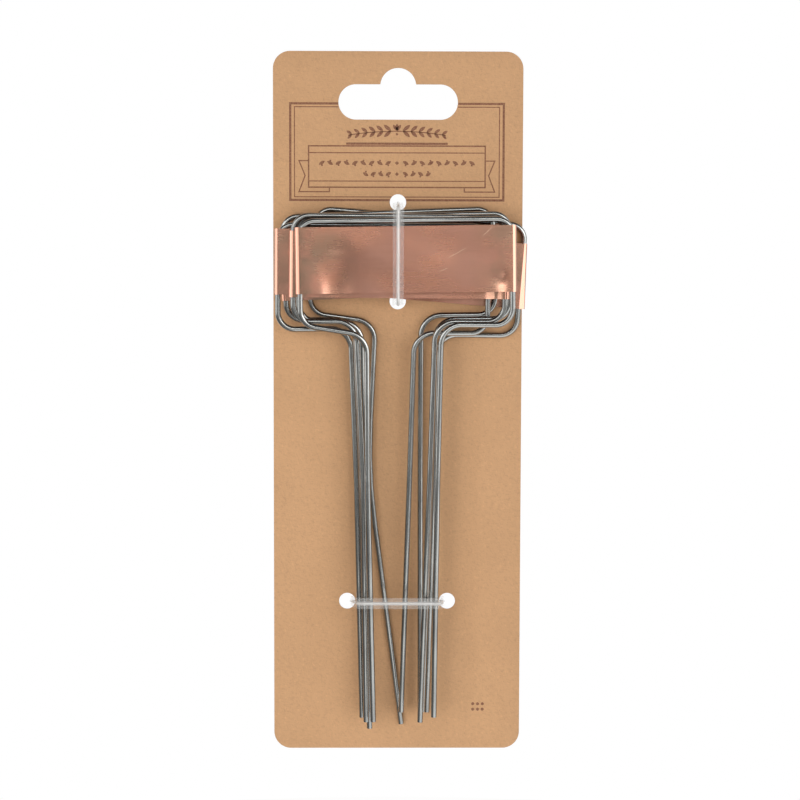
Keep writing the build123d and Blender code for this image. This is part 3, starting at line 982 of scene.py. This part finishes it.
class STAKESET_OT_twist_ties(bpy.types.Operator):
    """Wind the two clear twist ties with their steel cores and twisted tails"""

    bl_idname = "stake_set.twist_ties"
    bl_label = "Twist ties"

    TAIL_STEPS = 56
    CORE_SIDES, STRAND_SIDES = 12, 14
    # How milky the rib is behind the card, and where its milkiness ends in the wings, in rib half widths.
    # The rib's milkiness is partly a painted highlight along it
    BACK_SHARE = 0.35
    MILK_AND_HIGHLIGHT_REACH = 1.5

    def execute(self, context):
        """Model each tie in place of its nodes."""
        tie = context.scene.twist_tie
        card = context.scene.hang_card
        pvc, steel = clear_pvc(tie.pvc_colour), core_steel(tie.core_colour)
        level = Vector((0, sin(tie.front_rise), cos(tie.front_rise)))
        ties = {
            "upper": (self.upper_corners(card, tie), Vector((1, 0, 0)), Vector((1, 0, 0))),
            "lower": (self.lower_corners(card, tie), level, Vector((0, 0, -1))),
        }
        for name, (corners, across, along) in ties.items():
            bm = bmesh.new()
            self.ribbon(bm, self.route(corners, tie.ribbon_gap), across, tie)
            finish_piece(bm, f"{name}_tie_clear_ribbon", pvc, "card", f"{name}_tie_ribbon")
            bm = bmesh.new()
            self.core(bm, self.route(corners, tie.core_gap), tie)
            finish_piece(bm, f"{name}_tie_bent_core", steel, "card", f"{name}_tie_core")
            root = (corners[0] + corners[3]) / 2 - along * tie.rib_diameter / 2
            root.y = tie.tail_depth
            bm = bmesh.new()
            self.tail(bm, root, along, tie.strand_diameter, tie)
            finish_piece(bm, f"{name}_tie_twisted_tail", pvc, "card")
            bm = bmesh.new()
            self.tail(bm, root, along, tie.core_diameter, tie)
            finish_piece(bm, f"{name}_tie_tail_core", steel, "card")
        return {"FINISHED"}

    def runs(self, node, tie):
        """Return how far forward and back the middle of a tie's core runs."""
        low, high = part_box(node)
        return low.y + tie.core_diameter / 2, high.y - tie.core_diameter / 2

    def upper_corners(self, card, tie):
        """Return the upper tie's corners: lower hole, in front below, in front above, upper hole."""
        front, back = self.runs("upper_tie_core", tie)
        top = -card.upper_hole_depth
        bottom = top - card.upper_hole_spacing - tie.bottom_drop
        corners = [(back, bottom), (front, bottom), (front, top - tie.top_lean), (back, top)]
        return [Vector((0, y, z)) for y, z in corners]

    def lower_corners(self, card, tie):
        """Return the lower tie's corners: left hole, in front left, in front right, right hole."""
        front, back = self.runs("lower_tie_core", tie)
        half = card.lower_hole_spacing / 2 - tie.lower_inset
        height = -card.lower_hole_depth - tie.lower_drop
        corners = [(-half, back), (-tie.front_left, front), (tie.front_right, front), (half, back)]
        return [Vector((x, y, height - y * tan(tie.front_rise))) for x, y in corners]

    def route(self, corners, gap):
        """Return a tie's way from behind the card round its four corners and back."""
        middle = (corners[0] + corners[3]) / 2
        half_gap = (corners[3] - corners[0]).normalized() * gap / 2
        return [middle - half_gap, *corners, middle + half_gap]

    def draw_closed(self, bm, ring, points, tie):
        """Draw a ring out along a tie's way and close its ends."""
        bends = [tie.back_bend, tie.front_bend, tie.front_bend, tie.back_bend]
        last = draw_out(bm, ring, points, bends)
        for rim in (ring, last):
            bmesh.ops.contextual_create(bm, geom=rim)

    def ribbon(self, bm, points, across, tie):
        """Draw the ribbon: two flat wings with round edges beside a round rib, clearer near the card. The
        rib is milkier, partly as a painted highlight along it.
        """
        wing, rib = tie.ribbon_wing / 2, tie.rib_diameter / 2
        edge = tie.ribbon_width / 2 - wing
        lean = asin(wing / rib)
        foot = rib * cos(lean)
        over, half = radians(180) - 2 * lean, radians(180)
        side = []
        for turn in (1, -1):
            out, near, up = turn * edge, turn * foot * self.MILK_AND_HIGHLIGHT_REACH, turn * wing
            side += [((out, 0), half), ((near, up),), ((turn * foot, up),), ((0, 0), over),
                     ((-near, up),), ((-out, up),)]
        trace(bm, (edge, -wing), side)
        merge_doubles(bm)
        share = bm.verts.layers.float.new("rib_milk_and_highlight")
        for vert in bm.verts:
            vert[share] = 1.0 if abs(vert.co.x) < foot + WELD_DISTANCE else 0.0
        heading = (points[1] - points[0]).normalized()
        facing = Matrix((across, heading, across.cross(heading))).transposed().to_4x4()
        bm.transform(Matrix.Translation(points[0]) @ facing)
        self.draw_closed(bm, bm.edges[:], points, tie)
        for vert in bm.verts:
            if vert.co.y > -tie.ribbon_width:
                vert[share] *= self.BACK_SHARE

    def core(self, bm, points, tie):
        """Draw the round core."""
        facing = (points[1] - points[0]).to_track_quat("Z", "Y").to_matrix().to_4x4()
        bmesh.ops.create_circle(
            bm, cap_ends=False, radius=tie.core_diameter / 2, segments=self.CORE_SIDES,
            matrix=Matrix.Translation(points[0]) @ facing)
        self.draw_closed(bm, bm.edges[:], points, tie)

    def tail(self, bm, root, along, diameter, tie):
        """Twist two strands round each other from a root on the card's back."""
        facing = along.to_track_quat("Z", "Y").to_matrix().to_4x4()
        turn = Matrix.Rotation(2 * pi * tie.tail_turns / self.TAIL_STEPS, 3, along)
        share = bm.verts.layers.float.new("rib_milk_and_highlight")
        for side in (-1, 1):
            place = root + Vector((0, side * tie.strand_diameter / 2, 0))
            ring = bmesh.ops.create_circle(
                bm, cap_ends=False, radius=diameter / 2, segments=self.STRAND_SIDES,
                matrix=Matrix.Translation(place) @ facing)["verts"]
            for vert in ring:
                # The twisted strands take the rib's share behind the card of its milkiness, which is
                # partly a painted highlight
                vert[share] = self.BACK_SHARE
            first = list({edge for vert in ring for edge in vert.link_edges})
            edges = first
            for _ in range(self.TAIL_STEPS):
                edges, verts = extrude_ring(bm, edges, None, 0)
                bmesh.ops.translate(bm, verts=verts, vec=along * tie.tail_length / self.TAIL_STEPS)
                bmesh.ops.rotate(bm, verts=verts, cent=root, matrix=turn)
            for rim in (first, edges):
                bmesh.ops.contextual_create(bm, geom=rim)


# Stage

CAMERA_PLACE = Vector((-5.13, -498.78, -49.77)) * MM
CAMERA_AIM = Vector((0.68, 0.0, -84.24)) * MM
CAMERA_ROLL = radians(0.139)


class STAKESET_OT_stage(bpy.types.Operator):
    """Set out the pale floor, the soft light and the camera"""

    bl_idname = "stake_set.stage"
    bl_label = "Stage"

    FLOOR_SIDES = 96
    FLOOR_GLOW = 0.97
    BACK_TURN = radians(200)
    # The screen: its swing round the front, its foot as a share of the floor's drop, and its wall and
    # the rounding above it as shares of its radius
    SCREEN_SWING, SCREEN_STEPS = radians(250), 50
    SCREEN_FOOT, SCREEN_WALL, SCREEN_ROUND = 0.9, 1 / 3, 1 / 2
    # Where the screen's left part turns into its right one, and where it darkens upwards, in metres
    SIDE_BLEND = (-0.10, 0.02)
    TOP_FADE = (0.1, 0.5)

    def execute(self, context):
        """Build the stage round the finished object."""
        stage = context.scene.stake_stage
        scene = context.scene
        scene.view_settings.view_transform = "Standard"
        self.floor(stage)
        self.screen(stage)
        self.softbox("softbox_left", stage, -stage.box_turn, stage.key_rise, stage.key_brightness)
        self.softbox("softbox_right", stage, stage.box_turn, stage.fill_rise, stage.fill_brightness)
        self.softbox("softbox_back", stage, self.BACK_TURN, stage.box_height / 2, stage.fill_brightness)
        self.room(scene, stage)
        self.camera(scene, stage)
        return {"FINISHED"}

    def floor(self, stage):
        """Lay a pale floor under the hanging card, which shows as white and keeps a shadow."""
        bm = bmesh.new()
        bmesh.ops.create_circle(
            bm, cap_ends=True, radius=stage.floor_size / 2, segments=self.FLOOR_SIDES)
        height = CAD_BOX[0][2] - stage.floor_drop
        bmesh.ops.translate(bm, verts=bm.verts[:], vec=(0, 0, height))
        material, tree = new_material("pale_floor_matt")
        seen = self.seen(tree)
        plain = add(tree, "BsdfDiffuse", {"Color": opaque(stage.floor_colour)})
        white = add(tree, "Emission", {"Color": (1, 1, 1, 1), "Strength": 1.0})
        share = add(tree, "Math", {0: seen, 1: self.FLOOR_GLOW}, operation="MULTIPLY")
        mixed = add(tree, "MixShader", {0: share, 1: plain, 2: white})
        add(tree, "OutputMaterial", {"Surface": mixed})
        self.stand(bm, "pale_floor", material)

    def seen(self, tree):
        """Return whether the camera, a reflection or a clear plastic looks."""
        camera = add(tree, "LightPath", output="Is Camera Ray")
        glossy = add(tree, "LightPath", output="Is Glossy Ray")
        through = add(tree, "LightPath", output="Is Transmission Ray")
        either = add(tree, "Math", {0: camera, 1: glossy}, operation="MAXIMUM")
        return add(tree, "Math", {0: either, 1: through}, operation="MAXIMUM")

    def screen(self, stage):
        """Stand a grey screen with its panels round the front, which only reflections see."""
        bm = bmesh.new()
        radius = stage.screen_radius
        low = CAD_BOX[0][2] - stage.floor_drop * self.SCREEN_FOOT
        high, round_off = radius * self.SCREEN_WALL, radius * self.SCREEN_ROUND
        edges = trace(bm, (0.0, low), [
            ((radius, low),), ((radius, high),), ((radius - round_off, high), radians(90)),
            ((0.0, high + round_off),)])
        start = radians(-90) - self.SCREEN_SWING / 2
        bmesh.ops.rotate(bm, verts=bm.verts[:], cent=(0, 0, 0), matrix=Matrix.Rotation(start, 3, "Z"))
        bmesh.ops.spin(
            bm, geom=edges, cent=(0, 0, 0), axis=(0, 0, 1), angle=self.SCREEN_SWING,
            steps=self.SCREEN_STEPS)
        material, tree = new_material("grey_screen_matt")
        place = add(tree, "TexCoord", output="Object")
        across = add(tree, "SeparateXYZ", {0: place}, output="X")
        back = add(tree, "SeparateXYZ", {0: place}, output="Y")
        height = add(tree, "SeparateXYZ", {0: place}, output="Z")
        forward = add(tree, "Math", {0: back, 1: -1.0}, operation="MULTIPLY")
        turn = add(tree, "Math", {0: across, 1: forward}, operation="ARCTAN2")
        side = add(tree, "MapRange", {
            "Value": across, "From Min": self.SIDE_BLEND[0], "From Max": self.SIDE_BLEND[1],
            "To Min": stage.screen_left, "To Max": stage.screen_right}, interpolation_type="SMOOTHSTEP")
        top = add(tree, "MapRange", {
            "Value": height, "From Min": self.TOP_FADE[0], "From Max": self.TOP_FADE[1],
            "To Min": 1.0, "To Max": stage.screen_top})
        strength = add(tree, "Math", {0: side, 1: top}, operation="MULTIPLY")
        for panel in SCREEN_PANELS:
            middle, reach = (panel.low + panel.high) / 2, (panel.high - panel.low) / 2
            aside = add(tree, "Math", {0: turn, 1: radians(panel.turn), 2: radians(panel.half)},
                        operation="COMPARE")
            level = add(tree, "Math", {0: height, 1: middle, 2: reach}, operation="COMPARE")
            within = add(tree, "Math", {0: aside, 1: level}, operation="MULTIPLY")
            strength = add(tree, "Math", {0: within, 1: panel.brightness, 2: strength},
                           operation="MULTIPLY_ADD")
        glow = add(tree, "Emission", {"Color": (1, 1, 1, 1), "Strength": strength})
        add(tree, "OutputMaterial", {"Surface": glow})
        screen = self.stand(bm, "grey_screen", material)
        screen.visible_camera = False
        screen.visible_diffuse = False
        screen.visible_shadow = False

    def stand(self, bm, name, material):
        """Make a mesh a piece of the stage."""
        mesh = bpy.data.meshes.new(name)
        bm.to_mesh(mesh)
        bm.free()
        mesh.materials.append(material)
        prop = bpy.data.objects.new(name, mesh)
        bpy.context.scene.collection.objects.link(prop)
        return prop

    def softbox(self, name, stage, turn, rise, brightness):
        """Hang one softbox off the object's side, turned from straight in front."""
        lamp = bpy.data.lights.new(name, "AREA")
        lamp.shape = "RECTANGLE"
        lamp.size, lamp.size_y = stage.box_width, stage.box_height
        # A softbox's face has the brightness of its watts over four times its area
        lamp.energy = 4 * stage.box_width * stage.box_height * brightness
        box = bpy.data.objects.new(name, lamp)
        middle = Vector((0, 0, (CAD_BOX[0][2] + CAD_BOX[1][2]) / 2))
        away = Vector((sin(turn), -cos(turn), 0)) * stage.box_distance
        box.location = middle + away + Vector((0, 0, rise))
        box.rotation_euler = (middle - box.location).to_track_quat("-Z", "Y").to_euler()
        box.visible_glossy = False
        bpy.context.scene.collection.objects.link(box)

    def room(self, scene, stage):
        """Light the room evenly, and show it white to the camera, in metal and through plastic."""
        scene.world = bpy.data.worlds.new("white_room")
        scene.world.use_nodes = True
        tree = scene.world.node_tree
        tree.nodes.clear()
        strength = add(tree, "MapRange", {
            "Value": self.seen(tree), "To Min": stage.room_light, "To Max": 1.0})
        white = add(tree, "Background", {"Color": (1, 1, 1, 1), "Strength": strength})
        add(tree, "OutputWorld", {"Surface": white})

    def camera(self, scene, stage):
        """Stand the camera where the photograph was taken from."""
        lens = bpy.data.cameras.new("camera")
        lens.lens = stage.lens
        lens.clip_start = 0.01
        camera = bpy.data.objects.new("camera", lens)
        facing = (CAMERA_AIM - CAMERA_PLACE).to_track_quat("-Z", "Y").to_matrix().to_4x4()
        roll = Matrix.Rotation(CAMERA_ROLL, 4, "Z")
        camera.matrix_world = Matrix.Translation(CAMERA_PLACE) @ facing @ roll
        scene.collection.objects.link(camera)
        scene.camera = camera


# Sidebar and registration

class STAKESET_PT_pieces(bpy.types.Panel):
    """The stake set's pieces, in the order that they are made"""

    bl_idname = "STAKESET_PT_pieces"
    bl_label = "Stake Set"
    bl_space_type = "VIEW_3D"
    bl_region_type = "UI"
    bl_category = "Stake Set"

    def draw(self, context):
        """List every operator."""
        for operator in OPERATORS:
            self.layout.operator(operator.bl_idname)


OPERATORS = (
    STAKESET_OT_hang_card,
    STAKESET_OT_card_print,
    STAKESET_OT_stake_wires,
    STAKESET_OT_name_plates,
    STAKESET_OT_twist_ties,
    STAKESET_OT_stage,
)
SETTINGS = {
    "hang_card": HangCardSettings,
    "stake": StakeSettings,
    "twist_tie": TieSettings,
    "stake_stage": StageSettings,
}


def register():
    """Register the settings, the operators and the panel."""
    for name, group in SETTINGS.items():
        bpy.utils.register_class(group)
        setattr(bpy.types.Scene, name, bpy.props.PointerProperty(type=group))
    for operator in OPERATORS:
        bpy.utils.register_class(operator)
    bpy.utils.register_class(STAKESET_PT_pieces)


def unregister():
    """Remove what register added."""
    bpy.utils.unregister_class(STAKESET_PT_pieces)
    for operator in reversed(OPERATORS):
        bpy.utils.unregister_class(operator)
    for name, group in SETTINGS.items():
        delattr(bpy.types.Scene, name)
        bpy.utils.unregister_class(group)


def main():
    """Make every piece and the stage."""
    register()
    bpy.ops.stake_set.hang_card()
    bpy.ops.stake_set.card_print()
    bpy.ops.stake_set.stake_wires()
    bpy.ops.stake_set.name_plates()
    bpy.ops.stake_set.twist_ties()
    bpy.ops.stake_set.stage()


if __name__ == "__main__":
    main()
